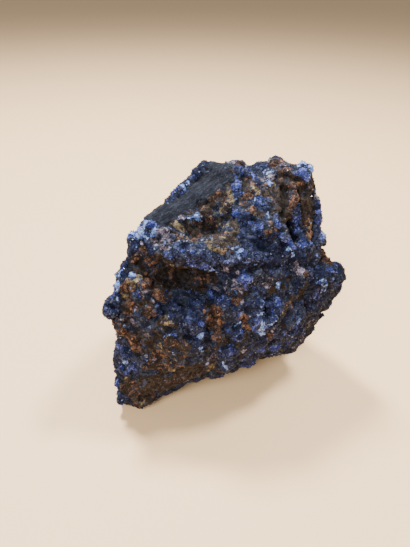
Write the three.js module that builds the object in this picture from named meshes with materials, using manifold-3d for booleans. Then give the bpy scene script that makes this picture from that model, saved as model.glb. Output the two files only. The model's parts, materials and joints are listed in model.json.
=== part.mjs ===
// A hand specimen of rock crusted with deep blue crystals, one natural piece.
// Millimetres, +Z up. +X runs along the longest side, -Y is the front, and the
// origin is on the ground under the middle of the stone.
import * as THREE from "three";
import { ConvexHull } from "three/addons/math/ConvexHull.js";
import { ImprovedNoise } from "three/addons/math/ImprovedNoise.js";
import { mergeVertices } from "three/addons/utils/BufferGeometryUtils.js";
import Module from "manifold-3d";

// Driving dimensions: the box that the stone fills.
const WIDTH = 110;
const DEPTH = 84;
const HEIGHT = 107;

// Every place on the stone is given in hundredths of the box, so it moves with the box:
// x from -50 to 50 across, y from -50 to 50 front to back, z from 0 to 100 upwards.
function place(x, y, z) {
  return new THREE.Vector3(x * WIDTH, y * DEPTH, z * HEIGHT).divideScalar(100);
}

// The stone is described outwards from one point well inside it.
const MIDDLE = place(0, 0, 43);
const FACE_STEPS = 16; // each edge of the starting icosahedron is parted this often
const EDGE_SOFTNESS = 0.7; // how far the worn edges between fracture faces are rounded
const SAME_PLACE = 1e-5; // corners nearer than this are one

// ---- The blocks ----
// Three blocks of rock have grown together. Each is bounded by the flat fracture
// faces between its corners, and the creases where two blocks meet stay sharp.
const upperBlock = [
  // the front ledge, from the left shoulder to the right waist
  [-44.5, -29, 69], [-43, -26, 76.5], [-30, -30, 76.5], [-17, -32.5, 76.5], [-3, -32, 75], [10, -25, 72.5],
  [22, -17, 70], [34, -8, 68], [40.5, 3, 64],
  // the left shoulder and the edge that climbs to the top
  [-41, -18, 81], [-34.5, -5, 86], [-26.5, 8, 89.5], [-20.5, 19, 96.5], [-16, 27, 99.5],
  // the top edge and the right-hand edge
  [-4, 31, 98.5], [13, 31, 98.5], [34, 22.5, 101.5], [35, 16, 97], [37, 13, 86], [39.5, 9, 71],
  // the back, down to the ground
  [-42, 4, 56], [-31, 36, 64], [0, 43.5, 75], [29, 41, 58], [43, 16, 39], [-35, 12, 20], [-24, 36, 12],
  [8, 43, 14], [27, 33, 10],
  // its root, inside the lower block
  [-30, -24, 25], [12, -16, 25], [28, -4, 25],
];
const lowerBlock = [
  // the foot and the left wall
  [-42, -51.5, 0], [-49.5, -49.5, 1], [-36, -48.5, 0], [-43, -46.5, 27], [-46, -41, 43], [-49.5, -39, 55],
  [-45.5, -32, 65],
  // the brow under the ledge, which runs out into the right-hand face
  [-38, -31, 70], [-20, -34, 71], [-5, -33, 70], [8, -28, 70], [20, -21, 67.5], [32, -12, 63],
  // the front face, bulging in the middle and falling back to the right
  [-27, -48.5, 38], [-11, -46, 48], [-16, -43, 60], [11, -39, 44], [2, -37, 62], [26, -28, 38], [20, -25, 58],
  // the undercut along the ground
  [5, -32, 25], [8, -16, 6], [-11, -25, 6], [-29, -40, 0], [41, -8, 25], [32, -7, 6], [26, -5, -1],
  // the back, down to the ground
  [-42, 4, 50], [-31, 34, 46], [29, 39, 46], [43, 14, 36], [-40, 10, 20], [-27, 39, 14], [6, 43.5, 20],
  [27, 36, 12], [-27, 24, -1], [18, 31, -1], [-18, 36, -1], [-38, -10, -1],
];
const rightShoulder = [
  [48, 0, 57.5], [49, -2, 47], [44.5, -9, 58], [44.5, -9, 42], [40, -9, 28], [44, 2, 61], [46, 7, 44],
  [36, -12, 60], [30, -18, 46], [36, 12, 30], [34, 10, 62], [-20, -10, 20], [-20, 14, 20], [-20, 0, 60],
];

// The flat faces of one block, each as its outward direction and its distance from MIDDLE.
function facesOf(corners) {
  const hull = new ConvexHull().setFromPoints(corners.map((corner) => place(...corner)));
  return hull.faces.map((face) => ({
    normal: face.normal.clone(),
    distance: face.normal.dot(face.midpoint.clone().sub(MIDDLE)),
  }));
}
const blocks = [upperBlock, lowerBlock, rightShoulder].map(facesOf);

// How far one block reaches from MIDDLE in a direction, with its edges rounded a little.
function blockReach(faces, direction) {
  const NEARLY_EDGE_ON = 1e-3;
  const reaches = faces.map((face) => face.distance / Math.max(face.normal.dot(direction), NEARLY_EDGE_ON));
  const nearest = Math.min(...reaches);
  const crowd = reaches.reduce((sum, reach) => sum + Math.exp((nearest - reach) / EDGE_SOFTNESS), 0);
  return nearest - EDGE_SOFTNESS * Math.log(crowd);
}

// The point of the blocks' joined surface that lies in a direction from MIDDLE.
function blockSurface(direction) {
  const reach = Math.max(...blocks.map((faces) => blockReach(faces, direction)));
  return direction.clone().multiplyScalar(reach).add(MIDDLE);
}
function towards(point) {
  return point.clone().sub(MIDDLE).normalize();
}

// ---- Hollows and swellings ----
// Each follows a line of places along the surface. It is about as wide as twice its radius,
// and its rise is its height, or its depth where that is negative.
const RELIEF_FADE = 1.35; // in radii, where it has faded into the face around it
const relief = [
  // the long hollow under the ledge, and the crusted ridge above it
  { along: [[-33, -27, 71], [-27, -28, 69], [-21, -30, 67.5], [-14, -31, 66], [-6, -30, 64]], radius: 8,
    rise: -9 },
  { along: [[-24, -29, 77], [-15, -27, 78], [-6, -28, 77.5], [3, -27, 75], [12, -23, 73]], radius: 5.5,
    rise: 2.6 },
  { along: [[-39, -27, 76], [-32, -27, 75], [-26, -30, 74.5]], radius: 5, rise: 1.8 },
  // the bowl in the upper face, with its rim in front
  { along: [[-17, -13, 79], [-12, -9, 80], [-7, -4, 83]], radius: 9, rise: -6 },
  { along: [[-11, -25, 80], [-6, -26, 79], [0, -25, 79]], radius: 4.5, rise: 1.6 },
  // two furrows and a pit down the right of the upper face, with a rib between
  { along: [[19, 11, 96], [19, 1, 89], [21, -6, 79]], radius: 4, rise: -3 },
  { along: [[29, 10, 92], [30, 6, 87], [30, 1, 82]], radius: 4, rise: -2.4 },
  { along: [[24, -3, 79], [25, -6, 76]], radius: 4.5, rise: -5 },
  { along: [[25, 10, 95], [24, 3, 91], [26, -1, 85]], radius: 4, rise: 1.4 },
  // the sag of the top edge between its lumps
  { along: [[-3, 29, 98.5], [6, 27, 99]], radius: 7, rise: -2.8 },
  { along: [[21, 25, 100]], radius: 6, rise: -1.6 },
  // the step in the left shoulder's edge, and the knob below it
  { along: [[-24, 8, 90], [-21, 15, 93]], radius: 8, rise: -2.4 },
  { along: [[-41, -25, 78]], radius: 4, rise: 1 },
  // the waist on the right, the bead of iron crust in it and the bulge under it
  { along: [[41, 7, 66], [37, -3, 66], [33, -7, 66]], radius: 5, rise: -2.4 },
  { along: [[41.5, 2, 64]], radius: 4, rise: 2.4 },
  { along: [[43, -6, 58], [47, -3, 54]], radius: 9, rise: 1.2 },
  // the crease in the left wall and the block that stands out under it
  { along: [[-47, -38, 43], [-43, -42, 40], [-39, -45, 38]], radius: 6, rise: -2 },
  { along: [[-42, -46, 32], [-38, -48, 32]], radius: 7, rise: 1 },
  { along: [[-49, -43, 26]], radius: 7, rise: -1.6 },
  // lumps and pits of the front face
  { along: [[5, -28, 66]], radius: 6, rise: 3 },
  { along: [[1, -28, 60]], radius: 6, rise: -2.4 },
  { along: [[10, -32, 56], [16, -32, 50]], radius: 9, rise: 2.4 },
  { along: [[13, -31, 53]], radius: 4, rise: -2.6 },
  { along: [[-6, -39, 50]], radius: 6, rise: -3 },
  { along: [[-9, -35, 60], [-8, -38, 57]], radius: 5, rise: -2 },
  { along: [[-27, -37, 63], [-27, -40, 58]], radius: 6, rise: -2.2 },
  { along: [[0, -40, 35], [0, -41, 28]], radius: 7, rise: 3.4 },
  { along: [[-20, -47, 44], [-22, -48, 33]], radius: 7, rise: 1.6 },
  { along: [[23, -28, 43], [30, -23, 42]], radius: 10, rise: 2 },
  { along: [[30, -23, 50], [39, -12, 50], [45, -8, 51]], radius: 6, rise: -2 },
  // the undercut along the front of the base
  { along: [[-21, -37, 5], [-10, -30, 8], [2, -21, 8], [16, -11, 4]], radius: 12.5, rise: -6 },
  // the back: a broad scoop, a rib and the weathered hollows of the rear wall
  { along: [[-34, 24, 60], [-20, 38, 66], [-6, 47, 62]], radius: 15, rise: -4 },
  { along: [[12, 44, 70], [16, 42, 48], [10, 44, 26]], radius: 10, rise: 1.5 },
  { along: [[32, 38, 44], [38, 26, 30]], radius: 12, rise: -4 },
  { along: [[-38, 18, 36], [-30, 34, 28]], radius: 12, rise: -3.5 },
  { along: [[38, 22, 76], [36, 30, 66]], radius: 11, rise: -3 },
  { along: [[-43, -10, 56], [-42, 2, 40]], radius: 10, rise: -3 },
  { along: [[-45, -28, 20], [-42, -14, 14]], radius: 10, rise: -3 },
  // the top behind its edge
  { along: [[-2, 40, 92], [12, 42, 92]], radius: 12, rise: -2.5 },
];
const STEP_ALONG = 2; // spacing of the points that a relief line is followed by
for (const form of relief) {
  const corners = form.along.map((corner) => blockSurface(towards(place(...corner))));
  const line = corners.length > 1 ? new THREE.CatmullRomCurve3(corners) : null;
  const steps = line ? Math.ceil(line.getLength() / STEP_ALONG) : 0;
  form.line = line ? line.getSpacedPoints(steps).map((point) => blockSurface(towards(point))) : corners;
}
function reliefRise(point) {
  let rise = 0;
  for (const form of relief) {
    const distance = Math.min(...form.line.map((spot) => spot.distanceTo(point)));
    const nearness = Math.max(0, 1 - (distance / (RELIEF_FADE * form.radius)) ** 2);
    rise += form.rise * nearness ** 2;
  }
  return rise;
}

// ---- Crust ----
// Clots of crystals, side by side, cover nearly all of the rock. Each is a low dome, and
// the creases between them are sharp. A slow swell runs under them.
const CLOTS = 300;
const CLOT_RADIUS = [4.8, 8];
const CLOT_HEIGHT = [0.6, 4.6];
const MEAN_CLOT = 0.9; // taken off, so that the crust keeps to the blocks' size
const CLOT_SCATTER = 0.1; // how unevenly the clots are spread
const SWELL = { size: 19, height: 2.2, start: new THREE.Vector3(7.3, 3.1, 5.7) };
// A few fracture faces are smooth: the dark slab at the upper left and the foot's front slope.
const SMOOTH_CORE = 0.6; // the share of a smooth face's radius that is wholly smooth
const CLOTS_WORN_OFF = 0.8; // how much of the clots is missing there
const smoothFaces = [
  { along: [[-31, -7, 86], [-20, 4, 91], [-10, 15, 95.5]], radius: 15 },
  { along: [[-33, -46, 22], [-22, -46, 24], [-10, -38, 20]], radius: 12 },
];
for (const face of smoothFaces) {
  face.line = face.along.map((corner) => blockSurface(towards(place(...corner))));
}
function smoothnessAt(point) {
  let smoothness = 0;
  for (const face of smoothFaces) {
    const distance = Math.min(...face.line.map((spot) => spot.distanceTo(point)));
    const roughening = THREE.MathUtils.smoothstep(distance, SMOOTH_CORE * face.radius, face.radius);
    smoothness = Math.max(smoothness, 1 - roughening);
  }
  return smoothness;
}

let draws = 0;
const random = () => THREE.MathUtils.seededRandom(++draws);
const between = ([low, high], share) => low + (high - low) * share;

// Directions spread evenly over the whole stone, on a spiral from one side to the other.
const GOLDEN_ANGLE = Math.PI * (3 - Math.sqrt(5));
function spreadDirections(count, scatter) {
  const directions = [];
  for (let i = 0; i < count; i++) {
    const height = 1 - (2 * i + 1) / count;
    const direction = new THREE.Vector3().setFromCylindricalCoords(
      Math.sqrt(1 - height * height),
      GOLDEN_ANGLE * i,
      height,
    );
    const shift = new THREE.Vector3(random() - 0.5, random() - 0.5, random() - 0.5);
    directions.push(direction.addScaledVector(shift, scatter).normalize());
  }
  return directions;
}
const clots = spreadDirections(CLOTS, CLOT_SCATTER).map((direction) => ({
  middle: blockSurface(direction),
  radius: between(CLOT_RADIUS, random()),
  height: between(CLOT_HEIGHT, random()),
}));
const noise = new ImprovedNoise();
function crustRise(point) {
  let clotRise = 0;
  for (const clot of clots) {
    const share = clot.middle.distanceToSquared(point) / clot.radius ** 2;
    clotRise = Math.max(clotRise, clot.height * (1 - share));
  }
  const spot = point.clone().divideScalar(SWELL.size).add(SWELL.start);
  const swell = SWELL.height * noise.noise(spot.x, spot.y, spot.z);
  return (clotRise - MEAN_CLOT) * (1 - CLOTS_WORN_OFF * smoothnessAt(point)) + swell;
}

// ---- The underside ----
// The stone stands on three worn patches. Between them the underside is hollow.
const feet = [place(-38, -34, 0), place(19, 4, 0), place(-9, 28, 0)];
const FOOT_RADIUS = 8;
const FOOT_FADE = 2.2; // in radii, where the hollow between the feet is at its full depth
const HOLLOW = 3;
const HOLLOW_HEIGHT = 9; // above this, the underside no longer matters
const WORN_HEIGHT = 3; // what is lower than this at a foot is worn flat
function standOnFeet(point) {
  const distance = Math.min(...feet.map((foot) => Math.hypot(foot.x - point.x, foot.y - point.y)));
  const awayFromFeet = THREE.MathUtils.smoothstep(distance, FOOT_RADIUS, FOOT_FADE * FOOT_RADIUS);
  const lowness = 1 - THREE.MathUtils.smoothstep(point.z, 0, HOLLOW_HEIGHT);
  point.z += HOLLOW * awayFromFeet * lowness;
  if (awayFromFeet === 0 && point.z < WORN_HEIGHT) point.z = 0;
  point.z = Math.max(point.z, 0);
}

function roughSurface(direction) {
  const bare = blockSurface(direction);
  const point = bare.clone().addScaledVector(direction, reliefRise(bare) + crustRise(bare));
  point.z = Math.max(point.z, 0);
  standOnFeet(point);
  return point;
}

// A closed shape with nothing but its corners, each of them once.
function bareShape(shape) {
  shape.deleteAttribute("normal");
  shape.deleteAttribute("uv");
  return mergeVertices(shape, SAME_PLACE);
}
const geometry = bareShape(new THREE.IcosahedronGeometry(1, FACE_STEPS));
const position = geometry.getAttribute("position");
for (let i = 0; i < position.count; i++) {
  const point = roughSurface(new THREE.Vector3().fromBufferAttribute(position, i).normalize());
  position.setXYZ(i, point.x, point.y, point.z);
}

// ---- Crystals ----
// Blocky crystals and clots of crystals stand out of the crust, each a small flat-faced solid
// that is sunk into the rock and joined to it.
const wasm = await Module();
wasm.setup();
function solidOf(shape) {
  const vertProperties = new Float32Array(shape.getAttribute("position").array);
  const triVerts = new Uint32Array(shape.index.array);
  return new wasm.Manifold(new wasm.Mesh({ numProp: 3, vertProperties, triVerts }));
}
const POINT_REACH = 1.25; // a pointed crystal reaches further than a blocky one of its size
const forms = {
  pointed: () => new THREE.OctahedronGeometry(POINT_REACH, 0),
  blocky: () => new THREE.IcosahedronGeometry(1, 0),
};
const STRETCH = [0.7, 1.3]; // crystals are longer or shorter along the surface than out of it
const SUNK = 0.75; // the share of a crystal's size by which its middle lies under the surface
const LEAN = 0.5; // radians, the most that a crystal leans over
function crystal(form, point, size) {
  const shape = bareShape(forms[form]());
  const lean = new THREE.Euler(LEAN * (2 * random() - 1), LEAN * (2 * random() - 1), 2 * Math.PI * random());
  shape.applyQuaternion(new THREE.Quaternion().setFromEuler(lean));
  shape.scale(size * between(STRETCH, random()), size * between(STRETCH, random()), size);
  const outwards = towards(point);
  shape.applyQuaternion(new THREE.Quaternion().setFromUnitVectors(new THREE.Vector3(0, 0, 1), outwards));
  const centre = point.clone().addScaledVector(outwards, -SUNK * size);
  shape.translate(centre.x, centre.y, centre.z);
  return solidOf(shape);
}

// The largest ones, by hand: where each stands, and its size in millimetres.
const largeCrystals = {
  blocky: [
    // along the top edge, and on the ridge and the left shoulder
    [6, 20, 97, 4], [12, 27, 99, 4.6], [17, 24, 99, 4], [24, 18, 99, 5], [-36, -17, 81, 4.8],
    [-28, -26, 79, 4.4],
    // on the right shoulder
    [44, -6, 60, 5], [45, -4, 54, 3.6], [39, -10, 58, 4.8], [34, -13, 48, 4.4],
    // on the front face, from the glint under the ledge to the ball at the foot
    [5, -28, 66, 5], [10, -32, 57, 4.8], [16, -33, 49, 4.6], [23, -28, 43, 4.8], [0, -41, 30, 5.4],
    // down the left
    [-47, -38, 55, 4.6], [-34, -42, 56, 4.4], [-24, -42, 58, 4], [-39, -42, 42, 4], [-42, -46, 32, 4.4],
    [-40, -46, 11, 4.4],
  ],
  pointed: [
    // on the upper face and the right-hand corner of the top
    [1, 10, 94, 4], [1, 4, 92, 3.6], [29, 18, 98, 5], [27, 13, 97, 4], [-32, -14, 83, 4], [-24, -18, 79, 4.2],
    [-21, -27, 77, 4.6],
    // on the front face
    [17, -31, 54, 4.4], [9, -34, 51, 4.2], [29, -23, 38, 4.6], [16, -34, 40, 4.4], [-19, -45, 53, 3.8],
    [-38, -47, 31, 4.6],
  ],
};
const crystals = [];
for (const [form, list] of Object.entries(largeCrystals)) {
  for (const [x, y, z, size] of list) {
    crystals.push(crystal(form, roughSurface(towards(place(x, y, z))), size));
  }
}

// Smaller ones are strewn over the crust, but none on the smooth faces and the underside.
const STREWN = 84;
const STREWN_SIZE = [3.4, 5.8];
const STREWN_SCATTER = 0.3; // how unevenly they are spread
const POINTED_SHARE = 0.5;
const TOO_SMOOTH = 0.2; // the smoothness at which the crust bears none
const LOWEST = 12; // millimetres above the ground
for (const direction of spreadDirections(STREWN, STREWN_SCATTER)) {
  const point = roughSurface(direction);
  const size = between(STREWN_SIZE, random());
  const form = random() < POINTED_SHARE ? "pointed" : "blocky";
  if (point.z > LOWEST && smoothnessAt(blockSurface(direction)) < TOO_SMOOTH) {
    crystals.push(crystal(form, point, size));
  }
}
const grown = solidOf(geometry).add(wasm.Manifold.union(crystals)).getMesh();

const grownGeometry = new THREE.BufferGeometry();
grownGeometry.setAttribute("position", new THREE.BufferAttribute(grown.vertProperties, 3));
grownGeometry.setIndex(new THREE.BufferAttribute(grown.triVerts, 1));

// The finished stone is fitted to its box exactly, standing at height 0.
grownGeometry.computeBoundingBox();
const reached = grownGeometry.boundingBox;
const extent = reached.getSize(new THREE.Vector3());
grownGeometry.translate(-reached.min.x - extent.x / 2, -reached.min.y - extent.y / 2, -reached.min.z);
grownGeometry.scale(WIDTH / extent.x, DEPTH / extent.y, HEIGHT / extent.z);

const stone = new THREE.Mesh(
  grownGeometry,
  new THREE.MeshStandardMaterial({ color: 0x2b3a6b, roughness: 0.8, metalness: 0 }),
);
stone.name = "stone";

const group = new THREE.Group();
group.add(stone);
export default group;
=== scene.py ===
"""A rough hand specimen: dark iron stone crusted with deep blue crystals, rust and ochre."""

import json
import math

import bmesh
import bpy
import numpy as np
from mathutils import Euler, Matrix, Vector, noise

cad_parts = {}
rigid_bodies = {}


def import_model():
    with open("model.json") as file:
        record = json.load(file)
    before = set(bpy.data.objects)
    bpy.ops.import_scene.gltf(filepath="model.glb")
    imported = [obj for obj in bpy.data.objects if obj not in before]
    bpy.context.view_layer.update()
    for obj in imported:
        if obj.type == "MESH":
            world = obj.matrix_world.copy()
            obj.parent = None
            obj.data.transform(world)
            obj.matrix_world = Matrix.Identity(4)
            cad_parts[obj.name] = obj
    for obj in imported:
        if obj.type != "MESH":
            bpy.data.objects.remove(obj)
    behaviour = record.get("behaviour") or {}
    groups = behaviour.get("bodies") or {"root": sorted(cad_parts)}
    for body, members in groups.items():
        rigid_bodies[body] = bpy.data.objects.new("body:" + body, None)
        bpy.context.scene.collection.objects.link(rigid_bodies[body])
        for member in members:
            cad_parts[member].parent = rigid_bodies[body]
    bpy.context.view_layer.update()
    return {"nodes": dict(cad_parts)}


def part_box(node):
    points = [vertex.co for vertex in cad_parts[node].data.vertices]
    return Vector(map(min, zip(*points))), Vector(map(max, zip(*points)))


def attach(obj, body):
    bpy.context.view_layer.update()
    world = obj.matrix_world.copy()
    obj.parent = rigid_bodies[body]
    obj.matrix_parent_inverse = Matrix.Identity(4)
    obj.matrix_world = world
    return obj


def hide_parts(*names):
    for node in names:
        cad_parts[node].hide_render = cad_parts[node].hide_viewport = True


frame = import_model()

# The stone's body is one lump of dark iron stone, broken from a vein. Its face is a crust of small
# crystals and crumbs a few millimetres across, with a smoother slab on top and a worn foot below.
# The crust grows out of the body, so it is the same piece: the solid's form with a finer surface.

# The solid's corners are welded, and its surface is laid again in faces this small.
MM = 0.001
CRUST_STEP, WELD = 0.00072, 0.00001

# The crust's relief: clots of crumbs, the grains and crumbs in them, and long upright folds under them
# all. It is lively in some stretches and calm in others.
CLOT, GRAIN, CRUMB = 0.0048, 0.0024, 0.0013
CLOT_RISE, GRAIN_RISE, CRUMB_RISE = 0.0008, 0.0004, 0.0002
CALM, LIVELY, STRETCH = 0.3, 1.2, 0.011
FOLD, FOLD_RISE = (0.0055, 0.0055, 0.016), 0.0012

# A clot is a dome that reaches so far, with a crease between it and the next. The flattest is so high,
# and some have fallen out and left a pit. A grain is a tilted face with a crease round it, and some
# stand alone, of another kind than their clot. Apart from the pits' depth, these are shares: of a
# clot's or a grain's own size or rise, or of how many there are.
DOME, FLATTEST, CLOT_CREASE, CLOT_CREASE_DEPTH = 0.75, 0.2, 0.16, 0.6
PIT_DEPTH, PIT_SHARE, PIT_REACH = 0.0017, 0.10, 0.55
GRAIN_TILT, GRAIN_CREASE, GRAIN_CREASE_DEPTH, ALONE = 1.1, 0.2, 0.5, 0.3

# Chance draws, told apart by these multiples of a lump's place, and the wander of their edges.
CLOT_DRAW, GRAIN_DRAW, LONE_DRAW, CRUMB_DRAW = 7, 5, 11, 13
WANDER, WANDER_SIZE, WANDER_SEED = 0.0012, 0.0035, 2

# The slab is streaked along its own grain. The crust smoothed round after round shows where it is
# hollow, which sets painted shade, and what lies this near the ground is worn flat.
GRAIN_OF_SLAB = Vector((0.72, 0.62, 0.31)).to_track_quat("X", "Z").to_euler()
STREAK, STREAK_RISE = (0.004, 0.0009, 0.0009), 0.00016
SMOOTHING_ROUNDS, HOLLOW_DEPTH = 14, 0.0009
WORN_HEIGHT = 0.0004

low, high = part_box("stone")

# Iron stone (goethite) is dull and nearly black, umber, rust and ochre are earthy, lavender is stained
# quartz, and ink, navy, bright and pale are azurite, from thick crystals to thin ones. Pale is also laid
# where light glints off the crust, so it is partly a painted highlight. The colours are each kind's
# darkest, usual and lightest grains, and the kinds lie over each other in this order.
crust_colours = {
    "base": ("141620", "262a39", "454b61"),
    "umber": ("13100e", "2b231f", "493f38"),
    "lavender": ("282228", "60555f", "a29db4"),
    "ink": ("0a0c18", "181c36", "30395e"),
    "navy": ("0f1222", "212643", "454e74"),
    "ochre": ("262019", "5c4f3c", "9a8b6a"),
    "rust": ("16100f", "3d2e29", "8e6850"),
    "bright": ("151a42", "353e80", "7882b8"),
    "pale": ("2e3e78", "667fc0", "acbfe6"),
    "slab": ("0d0e13", "20232e", "434954"),
}

# How fully a kind covers a place that is its own, and one that isn't.
CRUST_COVER = {
    "base": 1.0, "umber": 0.8, "lavender": 0.6, "ink": 0.8, "navy": 0.75, "ochre": 0.65, "rust": 0.75,
    "bright": 0.6, "pale": 0.65, "slab": 1.2,
}
STRAY_COVER = -0.06

# Each crust is a mixture of kinds of crumb and crystal, with the share that each kind has of it. The
# first is found wherever nothing else is laid over it.
crusts = {
    "plain": {
        "base": 0.58, "navy": 0.20, "umber": 0.09, "lavender": 0.06, "bright": 0.03, "rust": 0.02,
        "pale": 0.02,
    },
    "slab": {"slab": 1.0},
    "base": {"base": 1.0},
    "deep": {"ink": 0.45, "navy": 0.25, "base": 0.24, "bright": 0.05, "pale": 0.01},
    # This crust is dark azurite laid where the face lies in shade, as painted shade.
    "shaded_ink": {"ink": 0.74, "navy": 0.20, "bright": 0.06},
    "azurite": {"navy": 0.42, "bright": 0.25, "ink": 0.17, "base": 0.10, "pale": 0.06},
    "bright": {"bright": 0.85, "navy": 0.15},
    "pale": {"pale": 0.70, "bright": 0.20, "navy": 0.10},
    "speckled": {
        "base": 0.28, "umber": 0.18, "rust": 0.14, "lavender": 0.14, "navy": 0.10, "pale": 0.08,
        "ochre": 0.08,
    },
    "mixed": {
        "base": 0.21, "ink": 0.21, "rust": 0.20, "umber": 0.22, "lavender": 0.06, "ochre": 0.05,
        "bright": 0.05,
    },
    "lavender": {"lavender": 0.60, "rust": 0.15, "navy": 0.15, "pale": 0.10},
    "umber": {"umber": 0.84, "rust": 0.12, "base": 0.04},
    "earth": {"umber": 0.55, "rust": 0.20, "base": 0.15, "ochre": 0.10},
    "rusty": {"rust": 0.50, "umber": 0.36, "ochre": 0.14},
    "orange": {"rust": 0.80, "umber": 0.10, "ochre": 0.10},
    "ochre": {"ochre": 0.62, "rust": 0.16, "umber": 0.12, "base": 0.10},
}

# The sides out of sight carry the same crusts, strewn by chance: each is a crust, how many patches of it
# there are, and the least and most of half their width in mm. A patch is a short stroke, which is so
# long and may rise or sink by so much in half widths. A side is out of sight where it faces back, or
# where it faces down and is near the ground.
STREWN = (
    ("umber", 7, 8, 13), ("deep", 9, 8, 13), ("speckled", 6, 7, 12), ("earth", 9, 4, 9),
    ("azurite", 18, 4, 9), ("mixed", 12, 3, 7), ("rusty", 24, 2, 5), ("lavender", 8, 2, 4),
    ("bright", 22, 1.5, 3), ("ochre", 12, 1.5, 3.5), ("pale", 16, 1.5, 3),
)
STREWN_LENGTH, STREWN_RISE, STREWN_STEPS, STREWN_SEED = 1.6, 0.2, 9, 7
FACING_BACK, FACING_DOWN, LOW_DOWN = 0.25, -0.35, 0.02

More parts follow.
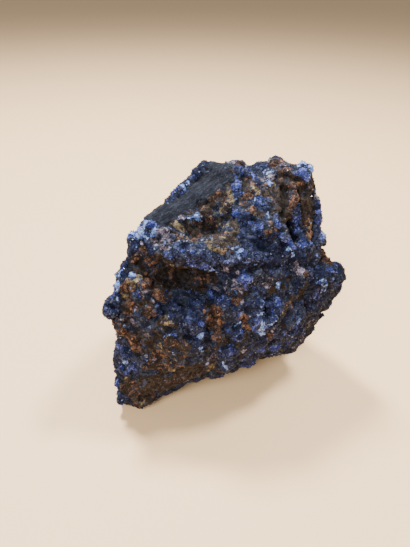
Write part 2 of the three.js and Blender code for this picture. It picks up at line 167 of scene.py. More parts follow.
# What stands out on the face, laid out as it is seen from in front and above: its crust, or None where
# that is as around it, half its width and its rise in mm, and the stops on its way across the face, in
# hundredths of the stone's width from the middle and of the face's height from below. A later one lies
# over an earlier one. The way from stop to stop is found in steps of a hundredth, and a point that is
# off the way counts as far behind the face.
FACE_TILT = math.radians(36)
FACE_STEP, MISS_WEIGHT = 1, 1000
# Pale strokes are thin azurite and, in part, painted highlights and glints.
features = [
    # broad stretches of crust
    ("mixed", 10, 0, (7, 89), (13, 82)),
    ("mixed", 7, 0, (14, 80), (17, 72)),
    ("deep", 8, 0, (3, 73), (10, 66), (22, 61)),
    ("deep", 6, 0, (30, 62), (38, 58)),
    ("speckled", 7, 0, (-32, 67), (-24, 67)),
    ("speckled", 8, 0, (-37, 50), (-38, 38), (-32, 38)),
    ("rusty", 3, 0.4, (-39, 48), (-40, 41)),
    ("earth", 9, 0, (-32, 28), (-24, 22)),
    ("umber", 7, 0, (-36, 9), (-26, 12), (-15, 17)),
    ("deep", 3, 0, (-30, 5), (-22, 9), (-12, 13)),
    ("deep", 8, 0, (-17, 43), (-13, 32)),
    ("azurite", 6, 0, (12, 27), (20, 30)),
    ("azurite", 6, 0, (6, 20), (14, 22), (22, 26), (30, 30)),
    ("azurite", 8, 0, (24, 31), (30, 34)),
    ("deep", 8, 0, (37, 42)),
    ("umber", 6, 0, (21, 90), (22, 78)),
    ("umber", 5, 0, (31, 89), (30, 72)),
    # slab, with blue along its upper edge and a brown step below it
    ("slab", 5, 0, (-31, 76), (-22, 79), (-14, 84)),
    ("slab", 6, 0, (-14, 87), (-6, 91)),
    ("slab", 4, 0, (-10, 97), (-2, 97)),
    (None, 7, 2, (-9, 96), (-1, 96)),
    ("azurite", 2.5, 1.4, (-27, 82), (-22, 87), (-16, 93), (-13, 97)),
    # painted highlight on the blue along the slab's edge
    ("pale", 1, 0.3, (-21, 86), (-20, 89)),
    ("lavender", 2, 0.5, (-2, 98), (5, 97)),
    ("earth", 2.5, -1.2, (-13, 80), (-8, 82), (-3, 87)),
    ("ochre", 3, 0.7, (-1, 88), (-3, 83), (-4, 77)),
    ("orange", 1.5, 0.4, (-4, 85), (-3, 81)),
    # bowl and its pale rim
    ("umber", 8, 0, (-15, 72), (-5, 72)),
    ("umber", 5, -2.6, (-13, 72), (-7, 71)),
    ("rusty", 2.5, 0.4, (-12, 79), (-9, 76)),
    ("earth", 3, 0.3, (-4, 77), (-6, 67)),
    ("ochre", 1.8, 0, (-3, 73), (-5, 68)),
    ("umber", 3, 0.9, (-18, 74), (-15, 71)),
    ("rusty", 1.5, 0.5, (-18, 68), (-15, 67)),
    ("ochre", 1.5, 0.7, (-20, 70), (-18, 67)),
    ("ochre", 1.8, 0.2, (-10, 67), (-8, 64), (-4, 62), (0, 62)),
    ("umber", 2.5, -0.4, (-4, 66), (1, 67)),
    ("ochre", 2, 0.3, (-24, 73), (-21, 72)),
    ("lavender", 1.5, 0.6, (-21, 75), (-13, 76)),
    # ridge across the middle, with the groove under it
    ("azurite", 2.5, 2.2, (-25, 59), (-20, 65)),
    ("lavender", 1.5, 0.6, (-22, 64), (-20, 69)),
    (None, 1.5, -1.3, (-28, 62), (-24, 66)),
    ("azurite", 3, 1.5, (-20, 61), (-13, 61), (-6, 59), (3, 60), (10, 61)),
    ("azurite", 2.5, 0.8, (-15, 57), (-8, 57)),
    (None, 1.5, -1.4, (-8, 57), (4, 57), (18, 58)),
    # a dip above the ridge, its dark ink partly painted shade
    ("shaded_ink", 5, -1.2, (6, 68), (11, 65), (17, 64)),
    # upper face
    ("azurite", 3, 0.9, (3, 94), (9, 92)),
    ("bright", 2, 0.2, (4, 93), (8, 92)),
    ("azurite", 2.5, 0.4, (11, 97), (14, 96)),
    ("lavender", 2, 0.3, (11, 92), (14, 90)),
    ("bright", 2.5, 1.4, (2, 89), (1, 85)),
    ("rusty", 2.5, 0.4, (5, 90), (8, 85)),
    ("ochre", 1.5, 0.5, (8, 87), (9, 85)),
    ("rusty", 1.5, 0.3, (12, 88), (14, 83)),
    ("azurite", 2.5, 0.9, (7, 82), (12, 81)),
    ("pale", 1, 0.4, (10, 82)),
    ("pale", 1, 0.4, (-1, 81)),
    ("bright", 1.5, 0.5, (0, 77), (3, 78)),
    ("rusty", 2, 0.5, (6, 79), (11, 77)),
    ("pale", 1, 0.3, (13, 78), (13, 75)),
    ("bright", 1.5, 0.5, (17, 77), (17, 74)),
    # dark ink as painted shade in the middle of the upper face
    ("shaded_ink", 4, 0, (4, 75), (8, 71)),
    ("bright", 1.8, 0.5, (7, 73), (9, 72)),
    ("rusty", 1.5, 0.5, (14, 72), (12, 69)),
    ("lavender", 3, 0.4, (14, 93), (20, 96)),
    ("rusty", 2.5, 0.4, (16, 97), (19, 93)),
    # pale corner, its paleness partly a painted highlight
    ("earth", 3, 0.3, (19, 94), (22, 92)),
    ("bright", 3, 0.5, (26, 94), (29, 92)),
    ("pale", 2.8, 1.3, (27, 96), (31, 96), (31, 93)),
    # grooves and rust strips down the right
    (None, 2, -2.6, (20, 88), (20, 77)),
    (None, 1.5, -2.2, (27, 86), (28, 78)),
    ("orange", 2, 1.2, (23, 89), (24, 84), (23, 79)),
    ("orange", 1.8, 0.6, (26, 89), (29, 89)),
    ("umber", 2.5, 1, (31, 88), (31, 78)),
    ("orange", 2.3, 1.2, (31, 75), (31, 67)),
    (None, 1.5, -1.8, (34, 87), (34, 68)),
    ("lavender", 1.5, 0.4, (35, 87), (36, 80)),
    ("azurite", 3, 0, (36, 83), (38, 67)),
    ("bright", 2.5, 0.5, (37, 77), (38, 69)),
    ("azurite", 2.5, 0.5, (26, 80), (27, 73), (28, 67)),
    ("bright", 2.5, 0.4, (26, 79), (27, 72), (28, 67)),
    ("azurite", 3, 0.6, (33, 66), (35, 60)),
    ("bright", 2, 0.6, (20, 69), (25, 66)),
    ("pale", 1.5, 0.3, (22, 64), (24, 63)),
    ("lavender", 2.5, 0.4, (26, 59), (29, 57)),
    ("deep", 2, -5.5, (23, 74), (25, 70)),
    # right shoulder
    ("orange", 2.5, 1, (40, 66), (43, 62)),
    ("azurite", 5, 0, (40, 58), (45, 56)),
    (None, 7, -1.8, (48, 57), (48, 53)),
    ("deep", 6, 0, (39, 51), (44, 49)),
    ("pale", 2, 0.5, (38, 53), (41, 51)),
    ("pale", 1.5, 0.3, (45, 55)),
    ("base", 3, 0, (46, 48), (42, 42)),
    # recess under the ridge
    ("umber", 4, -1.5, (-36, 58), (-26, 58)),
    ("umber", 6, -3, (-30, 54), (-22, 54), (-11, 53)),
    ("orange", 2, 0.9, (-31, 55), (-33, 50)),
    ("rusty", 2.5, 0, (-16, 53), (-10, 52)),
    ("rusty", 1.5, 0.4, (-24, 57), (-23, 52)),
    # left shoulder
    ("lavender", 3, 0.6, (-30, 69), (-24, 67)),
    ("azurite", 3, 2, (-41, 65), (-37, 68), (-33, 71)),
    # pale azurite here is partly a painted highlight where light grazes the shoulder
    ("pale", 4.2, 0.8, (-39, 65), (-33, 71)),
    ("lavender", 1.2, 0.4, (-37, 64), (-34, 66)),
    ("azurite", 2.5, 0.5, (-41, 62), (-38, 63)),
    ("rusty", 1.8, 0.5, (-38, 59), (-35, 62)),
    # left edge
    ("azurite", 3, 1, (-43, 57), (-44, 52), (-45, 46)),
    # pale azurite, partly a painted highlight along the lit edge
    ("pale", 2, 0.4, (-44, 54), (-45, 49)),
    ("rusty", 1.8, 0.4, (-41, 52), (-42, 46)),
    ("azurite", 4, 1.8, (-47, 43), (-47, 39)),
    (None, 3, 1.4, (-47, 38), (-45, 34)),
    ("rusty", 2, 0.3, (-47, 37), (-45, 36)),
    # left face
    ("lavender", 2, 0.6, (-35, 49), (-32, 47)),
    ("azurite", 2, 1.1, (-37, 47), (-36, 44)),
    ("rusty", 3, 0.3, (-37, 42), (-33, 38)),
    ("orange", 2.4, 1, (-29, 48), (-27, 45)),
    ("lavender", 1.5, 0.5, (-40, 44), (-38, 42)),
    ("lavender", 1.5, 0.5, (-31, 45), (-29, 40)),
    ("orange", 1.6, 0.5, (-35, 38), (-32, 35)),
    ("rusty", 2.5, 0.7, (-33, 44), (-30, 41)),
    ("azurite", 2, 1.2, (-28, 43), (-27, 38)),
    # two white specks that are painted glints
    ("pale", 1, 0.5, (-38, 39), (-37, 40)),
    ("pale", 1, 0.5, (-34, 40)),
    ("plain", 4, 0.4, (-33, 37), (-32, 33)),
    ("earth", 3.5, 0.6, (-26, 37), (-23, 35)),
    ("bright", 1.5, 0.5, (-26, 32), (-22, 34)),
    # lower left, down to the foot
    ("orange", 2.5, 1, (-43, 33), (-40, 31), (-38, 27)),
    ("rusty", 3, 0.7, (-24, 30), (-18, 29)),
    ("lavender", 2, 0.4, (-34, 24), (-31, 22)),
    ("rusty", 2, 0.5, (-33, 19), (-30, 21)),
    ("ochre", 1.5, 0.5, (-29, 35), (-28, 32)),
    ("ochre", 1.5, 0.5, (-24, 24), (-24, 19)),
    ("azurite", 4, 1, (-43, 28), (-44, 22)),
    ("azurite", 3, 1, (-44, 17), (-38, 20)),
    ("pale", 1.5, 0.6, (-42, 22), (-44, 18)),
    (None, 1.5, -2.6, (-43, 27), (-40, 25)),
    ("rusty", 2, 0.5, (-43, 14), (-40, 13)),
    ("azurite", 2.5, 1.4, (-46, 12), (-47, 4)),
    ("umber", 5, 0, (-42, 9), (-36, 5)),
    ("orange", 3, 0.5, (-40, 7), (-37, 2)),
    ("ochre", 2, 0.3, (-8, 17), (-6, 22)),
    # middle of the front
    ("azurite", 2.5, 1.6, (4, 54), (5, 51)),
    ("bright", 2.4, 0.2, (4, 53), (5, 51)),
    ("speckled", 5.5, 1.5, (1, 48)),
    ("lavender", 2.2, 0.6, (-2, 50), (0, 52), (3, 51)),
    ("orange", 1, 0.3, (-1, 51)),
    ("orange", 1.4, 0.6, (-3, 47), (0, 46), (3, 47)),
    ("lavender", 1.8, -1.6, (1, 49)),
    ("azurite", 3, 0.7, (-8, 48), (-4, 46)),
    ("rusty", 2.5, 0.3, (-9, 43), (-6, 42)),
    ("rusty", 4, 0, (-8, 41), (-5, 34)),
    ("orange", 2.6, 0.6, (-8, 39), (-5, 35)),
    ("azurite", 4.5, 0.7, (-17, 38), (-12, 34)),
    ("pale", 1, 0.6, (-12, 28), (-11, 26)),
    ("azurite", 3, 0.8, (-1, 36), (3, 33)),
    ("pale", 1, 0.5, (3, 38), (4, 36)),
    ("orange", 1.8, 1.2, (6, 37), (8, 36)),
    ("azurite", 4, 2.2, (-1, 26), (-1, 20)),
    # painted highlight on the blue ball
    ("pale", 1.4, 0.3, (-2, 23), (-1, 21)),
    # lower right
    ("lavender", 2, 0.3, (16, 36), (17, 31)),
    ("azurite", 5, 1.2, (10, 43), (12, 37)),
    ("azurite", 4.5, 1, (17, 44), (17, 39)),
    ("bright", 2, 0.5, (10, 43), (10, 38), (16, 38)),
    ("pale", 1.5, 0.5, (12, 36), (13, 33)),
    ("pale", 1.2, 0.4, (12, 46), (11, 42)),
    ("pale", 1.8, 0.4, (13, 38), (17, 39)),
    ("plain", 1.8, -2.4, (14, 43)),
    ("rusty", 2, 0.4, (24, 44), (22, 41)),
]

body_mesh = bmesh.new()
body_mesh.from_mesh(frame["nodes"]["stone"].data)
bmesh.ops.remove_doubles(body_mesh, verts=body_mesh.verts, dist=WELD)
stone = bpy.data.objects.new("rough_stone", bpy.data.meshes.new("rough_stone"))
body_mesh.to_mesh(stone.data)
body_mesh.free()
bpy.context.scene.collection.objects.link(stone)
remesh = stone.modifiers.new("even faces", "REMESH")
remesh.mode = "VOXEL"
remesh.voxel_size = CRUST_STEP
seen = stone.evaluated_get(bpy.context.evaluated_depsgraph_get())
stone.data = bpy.data.meshes.new_from_object(seen)
stone.modifiers.clear()

count = len(stone.data.vertices)
points = np.empty(count * 3)
stone.data.vertices.foreach_get("co", points)
points = points.reshape(-1, 3)
normals = np.empty(count * 3)
stone.data.vertex_normals.foreach_get("vector", normals)
normals = normals.reshape(-1, 3)

# A clot's crumbs are of one kind, which is drawn by chance, and so are those of a grain that stands
# alone.
noise.seed_set(WANDER_SEED)
wander = np.array([noise.noise_vector(Vector(p) / WANDER_SIZE) for p in points]) * WANDER
lifts = np.empty(count)
lumps = np.empty((count, 3))
draws = np.empty(count)
for i, p in enumerate(points):
    p = Vector(p)
    near, centres = noise.voronoi((p + Vector(wander[i])) / CLOT)
    luck = noise.cell_vector(centres[0] * CLOT_DRAW)
    vigour = CALM + (LIVELY - CALM) * min(max(0.5 + noise.noise(p / STRETCH), 0), 1)
    lift = vigour * CLOT_RISE * (FLATTEST + (1 - FLATTEST) * luck.x) * max(0.0, 1 - (near[0] / DOME) ** 2)
    lift -= vigour * CLOT_RISE * CLOT_CREASE_DEPTH * max(0.0, 1 - (near[1] - near[0]) / CLOT_CREASE)
    lift += FOLD_RISE * noise.noise(Vector([p[k] / FOLD[k] for k in range(3)]))
    if luck.y < PIT_SHARE:
        lift -= PIT_DEPTH * max(0.0, 1 - (near[0] / PIT_REACH) ** 2)
    lumps[i], draws[i] = centres[0] * CLOT, luck.z
    near, centres = noise.voronoi(p / GRAIN)
    luck = noise.cell_vector(centres[0] * GRAIN_DRAW)
    tilt = GRAIN_TILT * (luck - Vector((0.5, 0.5, 0.5))).dot(p / GRAIN - centres[0])
    lift += GRAIN_RISE * (luck.x - 0.5 + tilt)
    lift -= GRAIN_RISE * GRAIN_CREASE_DEPTH * max(0.0, 1 - (near[1] - near[0]) / GRAIN_CREASE)
    luck = noise.cell_vector(centres[0] * LONE_DRAW)
    if luck.x < ALONE:
        lumps[i], draws[i] = centres[0] * GRAIN, luck.y
    near, centres = noise.voronoi(p / CRUMB)
    lifts[i] = lift + CRUMB_RISE * (noise.cell_vector(centres[0] * CRUMB_DRAW).x * 2 - 1)

# Where each point of the crust is seen on the face, and how far back it lies from there.
across = 100 * (points[:, 0] - (low.x + high.x) / 2) / (high.x - low.x)
upward = points[:, 1] * math.sin(FACE_TILT) + points[:, 2] * math.cos(FACE_TILT)
upward = 100 * (upward - upward.min()) / (upward.max() - upward.min())
far_back = points[:, 1] * math.cos(FACE_TILT) - points[:, 2] * math.sin(FACE_TILT)


def way_over_face(stops):
    """Places on the face, close together on the way from stop to stop. Each is the foremost point of
    the crust within half a step, or the nearest one where there is none."""
    places = []
    for start, end in zip(stops, stops[1:] or stops):
        for share in np.linspace(0, 1, 1 + math.ceil(math.dist(start, end) / FACE_STEP)):
            here = [a + share * (b - a) for a, b in zip(start, end)]
            away = np.hypot(across - here[0], upward - here[1])
            too_far = np.maximum(away - FACE_STEP / 2, 0)
            places.append(points[np.argmin(MISS_WEIGHT * too_far + far_back)])
    return places


def distance_from(places, spots):
    """How far each spot is from the nearest of some places."""
    return np.min([np.linalg.norm(spots - at, axis=1) for at in places], axis=0)


chance = np.random.default_rng(STREWN_SEED)
hidden = np.flatnonzero(
    (normals[:, 1] > FACING_BACK) | (normals[:, 2] < FACING_DOWN) & (points[:, 2] < LOW_DOWN)
)
strokes = []
for crust, amount, narrow, wide in STREWN:
    for spot in points[chance.choice(hidden, amount)]:
        half_width = chance.uniform(narrow, wide)
        end = spot + chance.uniform(-1, 1, 3) * half_width * STREWN_LENGTH * MM
        rise = chance.uniform(-1, 1) * half_width * STREWN_RISE
        strokes.append((crust, half_width, rise, np.linspace(spot, end, STREWN_STEPS)))
for crust, half_width, rise, *stops in features:
    strokes.append((crust, half_width, rise, way_over_face(stops)))

# A stroke covers whole lumps at its edge, which wanders, and rises or sinks towards its middle.
LUMP_PULL, EDGE_WANDER, SWELLING = 0.3, 0.4, 1.5
crust_names = list(crusts)
covered_by = np.zeros(count, int)
raised = np.zeros(count)
middles = points + LUMP_PULL * (lumps - points) + EDGE_WANDER * wander
for crust, half_width, rise, places in strokes:
    if crust:
        covered_by[distance_from(places, middles) < half_width * MM] = crust_names.index(crust)
    if rise:
        away = distance_from(places, points + wander) / (half_width * MM)
        raised += rise * MM * np.clip(1 - away ** 2, 0, 1) ** SWELLING
shares = {kind: np.full(count, STRAY_COVER) for kind in crust_colours}
for number, crust in enumerate(crust_names):
    here = covered_by == number
    left = 0.0
    for kind, portion in crusts[crust].items():
        chosen = here & (draws >= left) & (draws < left + portion)
        shares[kind][chosen] = CRUST_COVER[kind]
        left += portion

# The slab and umber are nearly smooth, rust and ochre are soft, and the rest is rough.
SLAB_SMOOTH, UMBER_SMOOTH, RUST_SMOOTH, SMOOTHED_OFF = 0.8, 0.9, 0.6, 0.88
smooth = SLAB_SMOOTH * shares["slab"] + UMBER_SMOOTH * shares["umber"]
smooth = np.clip(smooth + RUST_SMOOTH * (shares["rust"] + shares["ochre"]), 0, 1)
rise = lifts * (1 - SMOOTHED_OFF * smooth) + raised
for i in np.flatnonzero(shares["slab"] > 0):
    along_streaks = GRAIN_OF_SLAB.to_matrix().inverted() @ Vector(points[i])
    rise[i] += STREAK_RISE * noise.noise(Vector([along_streaks[k] / STREAK[k] / 2 for k in range(3)]))
stone_points = points + normals * rise[:, None]
stone_points[:, 2] = np.maximum(stone_points[:, 2], low.z)
worn = points[:, 2] < low.z + WORN_HEIGHT
stone_points[worn] = points[worn]

# A place is hollow where it lies below the crust around it.
ends = np.empty(len(stone.data.edges) * 2, int)
stone.data.edges.foreach_get("vertices", ends)
ends = ends.reshape(-1, 2)
around = stone_points.copy()
for _ in range(SMOOTHING_ROUNDS):
    total = np.zeros_like(around)
    np.add.at(total, ends[:, 0], around[ends[:, 1]])
    np.add.at(total, ends[:, 1], around[ends[:, 0]])
    around = total / np.bincount(ends.ravel(), minlength=count)[:, None]
below = ((around - stone_points) * normals).sum(axis=1)
shares["hollow"] = np.clip(0.5 + below / HOLLOW_DEPTH / 2, 0, 1)
shares["rough"] = 1 - smooth
stone.data.vertices.foreach_set("co", stone_points.ravel())
for kind, share in shares.items():
    stone.data.attributes.new(kind, "FLOAT", "POINT").data.foreach_set("value", share.astype(np.float32))
stone.data.polygons.foreach_set("use_smooth", np.ones(len(stone.data.polygons), bool))
stone.data.update()


def linear(hex_colour):
    """The linear colour of an sRGB hex value such as 1b2a6b."""
    channels = [int(hex_colour[i:i + 2], 16) / 255 for i in (0, 2, 4)]
    return [c / 12.92 if c <= 0.04045 else ((c + 0.055) / 1.055) ** 2.4 for c in channels] + [1]


def add_node(tree, kind, inputs=None, **settings):
    """Adds a node to a tree. Each input is a value, or the output that feeds it."""
    node = tree.nodes.new(kind)
    for name, value in settings.items():
        setattr(node, name, value)
    for name, value in (inputs or {}).items():
        if isinstance(value, bpy.types.NodeSocket):
            tree.links.new(value, node.inputs[name])
        else:
            node.inputs[name].default_value = value
    return node


# The crust's specks, which are bent a little out of shape, its fine mottling, and the wider patches in
# which its kinds mix. The real mottling is finer, and is drawn this coarse so that it shows. The noise
# of the mottling and of the slab's streaks lies mostly between these bounds.
SPECK, SPECK_BEND, FINE, MIXING = 0.0014, 0.0004, 0.0005, 0.0035
NOISE_LOW, NOISE_HIGH, DETAIL, STREAK_DETAIL = 0.3, 0.7, 3.0, 4.0

# A crumb's tint is half its own and half mottling, from the darkest of its kind's colours to the
# lightest. On the slab the streaks take the place of its own.
OWN_TINT, MOTTLE_TINT, STREAK_TINT, SLAB_MOTTLE = 0.5, 0.5, 0.36, 0.8
TINT_STOPS = (0.15, 0.5, 0.9)

# A kind covers a place where its share there and the mixing's and the crumb's luck add up to this much.
MIXING_WEIGHT, CRUMB_WEIGHT, COVER_STARTS, COVER_FULL = 2.0, -0.3, 1.3, 1.4

# Hollows get painted shade, as little light gets between crystals, and proud parts a painted highlight.
SHADE_STARTS, SHADE_FULL, PROUD_PAINTED_LIGHT, HOLLOW_PAINTED_SHADE = 0.2, 1.0, 1.12, 0.48

# Specks are parted by clefts darkened with painted shade, and the fine mottling roughens them.
GAP, GAP_PAINTED_SHADE, BUMP, FINE_BUMP = 0.14, 0.5, 0.00025, 1.5


def crust_material(name, kinds, roughness, shine, grown):
    """Crust whose colour follows the patches that it lies in. A grown crystal is of one kind all over,
    and the crust between is grainy."""
    material = bpy.data.materials.new(name)
    material.use_nodes = True
    tree = material.node_tree
    tree.nodes.clear()

    # The mottling, the patches in which kinds mix, and the specks.
    where = add_node(tree, "ShaderNodeTexCoord").outputs["Object"]
    fine = add_node(tree, "ShaderNodeTexNoise", {"Vector": where, "Scale": 1 / FINE, "Detail": DETAIL})
    mixing = add_node(
        tree, "ShaderNodeTexNoise", {"Vector": where, "Scale": 1 / MIXING, "Detail": DETAIL}
    )
    bent = add_node(
        tree, "ShaderNodeVectorMath",
        {0: fine.outputs["Color"], 1: [SPECK_BEND] * 3, 2: where}, operation="MULTIPLY_ADD",
    ).outputs[0]
    grain = add_node(tree, "ShaderNodeTexVoronoi", {"Vector": bent, "Scale": 1 / SPECK})
    edge = add_node(
        tree, "ShaderNodeTexVoronoi", {"Vector": bent, "Scale": 1 / SPECK}, feature="DISTANCE_TO_EDGE"
    )

    # Each speck has three draws of its own, and so has each grown crystal.
    draw = grain.outputs["Color"]
    if grown:
        draw = add_node(tree, "ShaderNodeAttribute", attribute_name="draw").outputs["Vector"]
    draws = add_node(tree, "ShaderNodeSeparateColor", {"Color": draw})
    mixings = add_node(tree, "ShaderNodeSeparateColor", {"Color": mixing.outputs["Color"]})

    # The tint of each crumb, and that of the slab with its streaks.
    mottle = add_node(
        tree, "ShaderNodeMapRange",
        {"Value": fine.outputs["Fac"], "From Min": NOISE_LOW, "From Max": NOISE_HIGH,
         "To Max": MOTTLE_TINT},
    )
    tint = add_node(
        tree, "ShaderNodeMath", {0: draws.outputs[1], 1: OWN_TINT, 2: mottle.outputs["Result"]},
        operation="MULTIPLY_ADD",
    ).outputs[0]
    turned = add_node(
        tree, "ShaderNodeMapping",
        {"Vector": where, "Rotation": GRAIN_OF_SLAB, "Scale": STREAK},
        vector_type="TEXTURE",
    )
    streaks = add_node(
        tree, "ShaderNodeTexNoise", {"Vector": turned.outputs[0], "Scale": 1.0, "Detail": STREAK_DETAIL}
    )
    streak = add_node(
        tree, "ShaderNodeMapRange",
        {"Value": streaks.outputs["Fac"], "From Min": NOISE_LOW, "From Max": NOISE_HIGH,
         "To Max": STREAK_TINT},
    ).outputs["Result"]
    slab_share = add_node(tree, "ShaderNodeAttribute", attribute_name="slab").outputs["Fac"]
    streak = add_node(tree, "ShaderNodeMath", {0: streak, 1: slab_share}, operation="MULTIPLY").outputs[0]
    streaked = add_node(
        tree, "ShaderNodeMath", {0: mottle.outputs["Result"], 1: SLAB_MOTTLE, 2: streak},
        operation="MULTIPLY_ADD",
    ).outputs[0]

    # Each kind lies over those before it. A colour mix takes its colours as inputs 6 and 7 and gives
    # the mixed one as output 2.
    colour = None
    for number, kind in enumerate(kinds):
        own = add_node(tree, "ShaderNodeValToRGB", {"Fac": streaked if kind == "slab" else tint})
        for stop, colour_hex in zip(TINT_STOPS, crust_colours[kind]):
            first = stop == TINT_STOPS[0]
            element = own.color_ramp.elements[0] if first else own.color_ramp.elements.new(stop)
            element.position = stop
            element.color = linear(colour_hex)
        own.color_ramp.elements.remove(own.color_ramp.elements[-1])
        if colour is None:
            colour = own.outputs[0]
            continue
        share = add_node(tree, "ShaderNodeAttribute", attribute_name=kind).outputs["Fac"]
        luck = add_node(
            tree, "ShaderNodeMath", {0: mixings.outputs[number % 3], 1: MIXING_WEIGHT, 2: share},
            operation="MULTIPLY_ADD",
        )
        luck = add_node(
            tree, "ShaderNodeMath", {0: draws.outputs[number % 3], 1: CRUMB_WEIGHT, 2: luck.outputs[0]},
            operation="MULTIPLY_ADD",
        )
        covered = add_node(
            tree, "ShaderNodeMapRange",
            {"Value": luck.outputs[0], "From Min": COVER_STARTS, "From Max": COVER_FULL},
        )
        layered = add_node(
            tree, "ShaderNodeMix", {0: covered.outputs["Result"], 6: colour, 7: own.outputs[0]},
            data_type="RGBA",
        )
        colour = layered.outputs[2]

    # The hollows get painted shade and what stands proud a painted highlight, and some crumbs shine more
    # than others.
    hollow_share = add_node(tree, "ShaderNodeAttribute", attribute_name="hollow").outputs["Fac"]
    shade = add_node(
        tree, "ShaderNodeMapRange",
        {"Value": hollow_share, "From Min": SHADE_STARTS, "From Max": SHADE_FULL,
         "To Min": PROUD_PAINTED_LIGHT, "To Max": HOLLOW_PAINTED_SHADE},
    )
    darker = add_node(
        tree, "ShaderNodeMix", {0: 1.0, 6: colour, 7: shade.outputs["Result"]},
        data_type="RGBA", blend_type="MULTIPLY",
    )
    gloss = add_node(
        tree, "ShaderNodeMapRange",
        {"Value": draws.outputs[2], "To Min": roughness[0], "To Max": roughness[1]},
    )
    shader = add_node(
        tree, "ShaderNodeBsdfPrincipled",
        {"Base Color": darker.outputs[2], "Roughness": gloss.outputs["Result"],
         "Specular IOR Level": shine},
    )

    # Between the grown crystals, clefts part the specks, darkened with painted shade, and the surface is
    # bumpy.
    if not grown:
        cleft = add_node(
            tree, "ShaderNodeMapRange",
            {"Value": edge.outputs["Distance"], "From Max": GAP, "To Min": GAP_PAINTED_SHADE, "To Max": 0.0},
        )
        rough_share = add_node(tree, "ShaderNodeAttribute", attribute_name="rough").outputs["Fac"]
        clefts = add_node(
            tree, "ShaderNodeMath", {0: cleft.outputs["Result"], 1: rough_share}, operation="MULTIPLY"
        )
        gapped = add_node(
            tree, "ShaderNodeMix", {0: clefts.outputs[0], 6: darker.outputs[2], 7: (0, 0, 0, 1)},
            data_type="RGBA",
        )
        tree.links.new(gapped.outputs[2], shader.inputs["Base Color"])
        height = add_node(
            tree, "ShaderNodeMath", {0: fine.outputs["Fac"], 1: FINE_BUMP, 2: streak},
            operation="MULTIPLY_ADD",
        )
        height = add_node(
            tree, "ShaderNodeMath", {0: height.outputs[0], 1: clefts.outputs[0]}, operation="SUBTRACT"
        )
        bump = add_node(
            tree, "ShaderNodeBump", {"Strength": 1.0, "Distance": BUMP, "Height": height.outputs[0]}
        )
        tree.links.new(bump.outputs[0], shader.inputs["Normal"])
    add_node(tree, "ShaderNodeOutputMaterial", {"Surface": shader.outputs[0]})
    return material


# Goethite is dull, so the crust hardly shines. What glints in it are the azurite crystals.
stone.data.materials.append(crust_material(
    "goethite iron stone with azurite crust", list(crust_colours), roughness=(0.6, 0.9), shine=0.1,
    grown=False,
))
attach(stone, "root")
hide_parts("stone")

# Crystals stand out of the crust: single grains, and fans of three thin blades, each grown at its own
# lean and set in the crust by its root. They are azurite where the crust is blue, and dark iron ore,
# rust or quartz crumbs elsewhere.

# A grain is one short prism and a fan is three thin ones. Each row is a crystal's shape and number, the
# sides of its prism, how wide the tip is beside the root, and the prism's stretch. The leans are in
# radians, and each crystal of a shape is turned by a little more than the one before.
crystal_shapes = {"grain": bpy.data.collections.new("grain"), "fan": bpy.data.collections.new("fan")}
BLADE = (0.16, 0.5, 0.9)
ROOT_RADIUS, GRAIN_LEANS, FAN_LEANS, TIP_OVER, TWIST = 0.7, (0,), (-0.7, 0.1, 0.8), 0.2, 1.4
for kinship, number, sides, tip, stretch in (
    ("grain", 1, 4, 0.8, (0.65, 0.5, 0.6)),
    ("grain", 2, 5, 0.45, (0.55, 0.5, 0.75)),
    ("grain", 3, 6, 0.7, (0.6, 0.35, 0.8)),
    ("fan", 1, 4, 0.55, BLADE),
    ("fan", 2, 4, 0.8, BLADE),
):
    shape = bmesh.new()
    for lean in GRAIN_LEANS if kinship == "grain" else FAN_LEANS:
        part = bmesh.ops.create_cone(
            shape, cap_ends=True, segments=sides, radius1=ROOT_RADIUS, radius2=ROOT_RADIUS * tip, depth=1
        )
        bmesh.ops.scale(shape, vec=stretch, verts=part["verts"])
        turn = Euler((TIP_OVER * number, lean, lean * TWIST * number))
        bmesh.ops.rotate(shape, verts=part["verts"], matrix=turn.to_matrix())
    crystal = bpy.data.objects.new(f"{kinship} {number}", bpy.data.meshes.new(f"{kinship} {number}"))
    shape.to_mesh(crystal.data)
    shape.free()
    crystal_shapes[kinship].objects.link(crystal)


# Crystals keep to what stands proud of the crust, and this high off the ground. They lean this much
# either way, in radians, and are as close as this share of what their distance apart allows.
HOLLOW_NONE, HOLLOW_ALL, OFF_GROUND, MOST_LEAN, CLOSENESS = 0.9, 0.5, 0.002, 0.7, 0.9


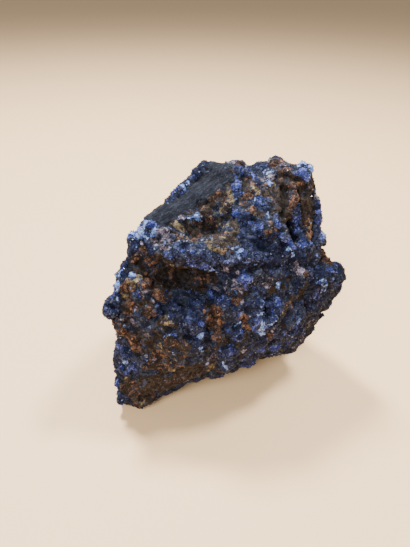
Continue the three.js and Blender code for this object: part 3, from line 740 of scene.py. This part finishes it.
def grow(name, kinship, kinds, apart, sizes, seed):
    """A joined mesh of small crystals, strewn over the crust where it is one of these kinds."""
    tree = bpy.data.node_groups.new(name, "GeometryNodeTree")
    tree.interface.new_socket("Geometry", in_out="INPUT", socket_type="NodeSocketGeometry")
    tree.interface.new_socket("Geometry", in_out="OUTPUT", socket_type="NodeSocketGeometry")

    # How well crystals grow at a place: by the kinds there, and less where it is hollow.
    crust = add_node(tree, "NodeGroupInput").outputs[0]
    share = None
    for kind, weight in kinds.items():
        part = add_node(tree, "GeometryNodeInputNamedAttribute", {"Name": kind}, data_type="FLOAT")
        part = add_node(
            tree, "ShaderNodeMath", {0: part.outputs[0], 1: weight}, operation="MULTIPLY"
        ).outputs[0]
        share = part if share is None else add_node(
            tree, "ShaderNodeMath", {0: share, 1: part}, operation="ADD", use_clamp=True
        ).outputs[0]
    hollow = add_node(tree, "GeometryNodeInputNamedAttribute", {"Name": "hollow"}, data_type="FLOAT")
    proud = add_node(
        tree, "ShaderNodeMapRange",
        {"Value": hollow.outputs[0], "From Min": HOLLOW_NONE, "From Max": HOLLOW_ALL},
    )
    share = add_node(
        tree, "ShaderNodeMath", {0: share, 1: proud.outputs["Result"]}, operation="MULTIPLY"
    ).outputs[0]

    # Where they stand. None is near the ground, so that the stone rests on its own patches.
    place = add_node(tree, "GeometryNodeInputPosition").outputs[0]
    place = add_node(tree, "ShaderNodeSeparateXYZ", {0: place})
    off_ground = add_node(
        tree, "FunctionNodeCompare", {0: place.outputs[2], 1: OFF_GROUND}, operation="GREATER_THAN"
    )
    spread = add_node(
        tree, "GeometryNodeDistributePointsOnFaces",
        {"Mesh": crust, "Distance Min": apart, "Density Max": CLOSENESS / apart ** 2,
         "Density Factor": share, "Seed": seed, "Selection": off_ground.outputs[0]},
        distribute_method="POISSON",
    )

    # Each has draws for its colour, a lean and a size of its own.
    draw = add_node(
        tree, "FunctionNodeRandomValue", {"Min": (0, 0, 0), "Max": (1, 1, 1), "Seed": seed},
        data_type="FLOAT_VECTOR",
    )
    tinted = add_node(
        tree, "GeometryNodeStoreNamedAttribute",
        {"Geometry": spread.outputs["Points"], "Name": "draw", "Value": draw.outputs[0]},
        data_type="FLOAT_VECTOR",
    )
    lean = add_node(
        tree, "FunctionNodeRandomValue",
        {"Min": (-MOST_LEAN, -MOST_LEAN, -math.pi), "Max": (MOST_LEAN, MOST_LEAN, math.pi),
         "Seed": seed + 1},
        data_type="FLOAT_VECTOR",
    )
    turned = add_node(
        tree, "FunctionNodeRotateRotation",
        {"Rotation": spread.outputs["Rotation"], "Rotate By": lean.outputs[0]}, rotation_space="LOCAL",
    )
    scale = add_node(
        tree, "FunctionNodeRandomValue",
        {"Min": [sizes[0]] * 3, "Max": [sizes[1]] * 3, "Seed": seed + 2}, data_type="FLOAT_VECTOR",
    )

    # One of the shapes grows at each place, and all are joined in one mesh.
    picked = add_node(
        tree, "GeometryNodeCollectionInfo",
        {"Collection": crystal_shapes[kinship], "Separate Children": True, "Reset Children": True},
    )
    grown = add_node(
        tree, "GeometryNodeInstanceOnPoints",
        {"Points": tinted.outputs[0], "Instance": picked.outputs[0], "Pick Instance": True,
         "Rotation": turned.outputs[0], "Scale": scale.outputs[0]},
    )
    joined = add_node(tree, "GeometryNodeRealizeInstances", {"Geometry": grown.outputs[0]})
    add_node(tree, "NodeGroupOutput", {0: joined.outputs[0]})
    growing = stone.modifiers.new(name, "NODES")
    growing.node_group = tree
    seen = stone.evaluated_get(bpy.context.evaluated_depsgraph_get())
    piece = bpy.data.objects.new(name, bpy.data.meshes.new_from_object(seen))
    bpy.context.scene.collection.objects.link(piece)
    stone.modifiers.clear()
    return piece


# Each row is a piece, the shape of its crystals, how well they grow on each kind of crust, how far
# apart they stand, their least and greatest size, and a seed. Crystals are glassy, so they glint.
crystal_kinds = [kind for kind in crust_colours if kind != "slab"]
for name, kinship, kinds, apart, sizes, seed in (
    ("azurite_fans", "fan", {"bright": 1.2, "pale": 1.0}, 0.0011, (0.0008, 0.0013), 3),
    ("azurite_grains", "grain", {"navy": 1.0, "ink": 0.7, "lavender": 0.8}, 0.00105, (0.0007, 0.0012), 5),
    ("dark_grains", "grain", {"rough": 0.6, "navy": -0.6, "ink": -0.6, "slab": -1.0}, 0.0012,
     (0.0006, 0.0011), 11),
):
    piece = grow(name, kinship, kinds, apart, sizes, seed)
    piece.data.materials.clear()
    piece.data.materials.append(crust_material(
        name.replace("_", " "), crystal_kinds, roughness=(0.2, 0.5), shine=0.6, grown=True
    ))
    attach(piece, "root")
for collection in crystal_shapes.values():
    for crystal in list(collection.objects):
        bpy.data.objects.remove(crystal)

# The board it stands on is a plain pale sheet, wide enough to fill the view. It isn't part of the stone.
BOARD_REACH, BOARD_COLOUR, BOARD_ROUGHNESS = 6, "fbd29e", 0.6
board = bpy.data.objects.new("board", bpy.data.meshes.new("board"))
sheet = bmesh.new()
bmesh.ops.create_grid(sheet, x_segments=1, y_segments=1, size=BOARD_REACH)
sheet.to_mesh(board.data)
sheet.free()
bpy.context.scene.collection.objects.link(board)
pale = bpy.data.materials.new("pale matt board")
pale.use_nodes = True
paint = pale.node_tree.nodes["Principled BSDF"].inputs
paint["Base Color"].default_value = linear(BOARD_COLOUR)
paint["Roughness"].default_value = BOARD_ROUGHNESS
board.data.materials.append(pale)

# Light: soft lamps high behind, with a broad one in front, so that the front is lit and shadows fall
# towards the front. Each row is a lamp's place, width and power, and all are aimed at the stone's
# middle.
LIT_SPOT = Vector((0, 0, 0.05))
for name, spot, width, power in (
    ("back left lamp", (-0.25, 0.35, 0.75), 0.15, 14),
    ("back right lamp", (0.35, 0.2, 0.8), 0.15, 10),
    ("front lamp", (-0.35, -0.7, 0.7), 0.5, 11),
):
    lamp = bpy.data.lights.new(name, "AREA")
    lamp.shape = "DISK"
    lamp.size = width
    lamp.energy = power
    fitting = bpy.data.objects.new(name, lamp)
    fitting.location = spot
    fitting.rotation_euler = (LIT_SPOT - Vector(spot)).to_track_quat("-Z", "Y").to_euler()
    bpy.context.scene.collection.objects.link(fitting)
ROOM_COLOUR, ROOM_STRENGTH = "f2f0ee", 0.4
world = bpy.data.worlds.new("studio")
world.use_nodes = True
world.node_tree.nodes["Background"].inputs["Color"].default_value = linear(ROOM_COLOUR)
world.node_tree.nodes["Background"].inputs["Strength"].default_value = ROOM_STRENGTH
bpy.context.scene.world = world

# The camera is held close above the board, in front of the stone and looking down on it.
CAMERA_LENS, CAMERA_SENSOR, CAMERA_NEAR = 28.96, 36, 0.01
CAMERA_PLACE = (-0.012, -0.1743, 0.1823)
CAMERA_PITCH, CAMERA_ROLL = math.radians(36), math.radians(1.7)
view_data = bpy.data.cameras.new("camera")
view_data.lens = CAMERA_LENS
view_data.sensor_width = CAMERA_SENSOR
view_data.clip_start = CAMERA_NEAR
camera = bpy.data.objects.new("camera", view_data)
camera.location = CAMERA_PLACE
tipped = Euler((math.pi / 2 - CAMERA_PITCH, 0, 0)).to_matrix() @ Euler((0, 0, CAMERA_ROLL)).to_matrix()
camera.rotation_euler = tipped.to_euler()
bpy.context.scene.collection.objects.link(camera)
bpy.context.scene.camera = camera
